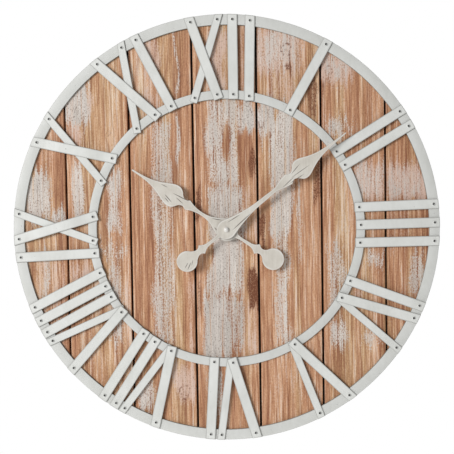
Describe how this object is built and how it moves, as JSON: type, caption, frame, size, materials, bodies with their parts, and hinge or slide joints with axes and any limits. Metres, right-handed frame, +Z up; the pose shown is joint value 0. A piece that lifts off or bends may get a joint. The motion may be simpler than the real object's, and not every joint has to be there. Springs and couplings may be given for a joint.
{
  "type": "wall clock",
  "caption": "Large round farmhouse wall clock with a plank dial, a painted metal frame of Roman numerals and two spade hands.",
  "frame": {"origin": "centre of the hanger's keyhole on the wall plane; the dial centre is 150 mm below it", "axes": "+Z up, +Y out of the back into the wall, so the dial faces -Y; +X is right as a reader sees the dial"},
  "size_m": [0.6, 0.0509, 0.5999],
  "materials": {
    "washed_pine": "sawn pine with a thin white wash",
    "frame_paint": "satin off-white paint",
    "rivet_paint": "painted rivet heads",
    "backing_board": "dark hardboard",
    "batten_pine": "plain pine",
    "zinc_steel": "zinc plated",
    "pad_felt": "grey felt",
    "hand_paint": "brushed grey-white paint",
    "cap_paint": "white enamel",
    "case_plastic": "fine spark texture",
    "knob_plastic": "moulded",
    "brass": "turned",
    "wheel_plastic": "moulded",
    "plate_plastic": "moulded",
    "gasket_rubber": "matt",
    "copper_wire": "lacquered copper wire",
    "board_laminate": "solder resist",
    "contact_steel": "plated spring steel",
    "battery_sleeve": "plain printed sleeve without marks"
  },
  "bodies": {
    "clock": {"backing_disc": "backing_board", "batten_screws": "zinc_steel", "bearing_plate": "plate_plastic", "case_cover": "case_plastic", "case_front": "case_plastic", "case_gasket": "gasket_rubber", "centre_bush": "brass", "circuit_board": "board_laminate", "coil": "copper_wire", "contact_minus": "contact_steel", "contact_plus": "contact_steel", "dial_nut": "brass", "dial_washer": "brass", "frame_screws": "zinc_steel", "hanger_plate": "zinc_steel", "hanger_screws": "zinc_steel", "inner_ring": "frame_paint", "lower_batten": "batten_pine", "numeral_I": "frame_paint", "numeral_II": "frame_paint", "numeral_III": "frame_paint", "numeral_IV": "frame_paint", "numeral_IX": "frame_paint", "numeral_V": "frame_paint", "numeral_VI": "frame_paint", "numeral_VII": "frame_paint", "numeral_VIII": "frame_paint", "numeral_X": "frame_paint", "numeral_XI": "frame_paint", "numeral_XII": "frame_paint", "outer_ring": "frame_paint", "plank_1": "washed_pine", "plank_2": "washed_pine", "plank_3": "washed_pine", "plank_4": "washed_pine", "plank_5": "washed_pine", "plank_6": "washed_pine", "plank_7": "washed_pine", "plate_screws": "zinc_steel", "rivets_inner": "rivet_paint", "rivets_outer": "rivet_paint", "stator": "zinc_steel", "upper_batten": "batten_pine", "wall_pads": "pad_felt"},
    "minute": {"minute_hand": "hand_paint", "minute_collet": "brass", "cap_nut": "cap_paint", "minute_arbor": "brass", "clutch_washer": "zinc_steel"},
    "hour": {"hour_hand": "hand_paint", "hour_collet": "brass", "hour_wheel": "wheel_plastic"},
    "setting": {"minute_wheel": "wheel_plastic", "setting_knob": "knob_plastic"},
    "centre": {"centre_wheel": "wheel_plastic"},
    "third": {"third_wheel": "wheel_plastic"},
    "second": {"second_wheel": "wheel_plastic"},
    "intermediate": {"intermediate_wheel": "wheel_plastic"},
    "stepping_rotor": {"rotor": "wheel_plastic"},
    "cell": {"battery": "battery_sleeve"}
  },
  "joints": [
    {"name": "minute_hand_turn", "type": "hinge", "parent": "clock", "child": "minute", "pos_m": [0, 0, -0.15], "axis": [0, 1, 0], "continuous": true},
    {"name": "hour_hand_turn", "type": "hinge", "parent": "clock", "child": "hour", "pos_m": [0, 0, -0.15], "axis": [0, 1, 0], "continuous": true},
    {"name": "setting_knob_turn", "type": "hinge", "parent": "clock", "child": "setting", "pos_m": [0.006, 0, -0.13961], "axis": [0, 1, 0], "continuous": true},
    {"name": "second_wheel_turn", "type": "hinge", "parent": "clock", "child": "second", "pos_m": [0, 0, -0.15], "axis": [0, 1, 0], "continuous": true},
    {"name": "third_wheel_turn", "type": "hinge", "parent": "clock", "child": "third", "pos_m": [-0.00974, 0, -0.14438], "axis": [0, 1, 0], "continuous": true},
    {"name": "centre_wheel_turn", "type": "hinge", "parent": "clock", "child": "centre", "pos_m": [0, 0, -0.15], "axis": [0, 1, 0], "continuous": true},
    {"name": "intermediate_wheel_turn", "type": "hinge", "parent": "clock", "child": "intermediate", "pos_m": [0.01152, 0, -0.15], "axis": [0, 1, 0], "continuous": true},
    {"name": "rotor_turn", "type": "hinge", "parent": "clock", "child": "stepping_rotor", "pos_m": [0.0191, 0, -0.14563], "axis": [0, 1, 0], "continuous": true},
    {"name": "battery_slide", "type": "slide", "parent": "clock", "child": "cell", "axis": [0, 1, 0], "range_m": [0, 0.025]}
  ],
  "couplings": [
    {"joint": "hour_hand_turn", "follows": "minute_hand_turn", "ratio": 0.083333},
    {"joint": "setting_knob_turn", "follows": "minute_hand_turn", "ratio": -0.33333},
    {"joint": "third_wheel_turn", "follows": "second_wheel_turn", "ratio": -0.13333},
    {"joint": "centre_wheel_turn", "follows": "second_wheel_turn", "ratio": 0.016667},
    {"joint": "intermediate_wheel_turn", "follows": "second_wheel_turn", "ratio": -5},
    {"joint": "rotor_turn", "follows": "second_wheel_turn", "ratio": 30}
  ]
}
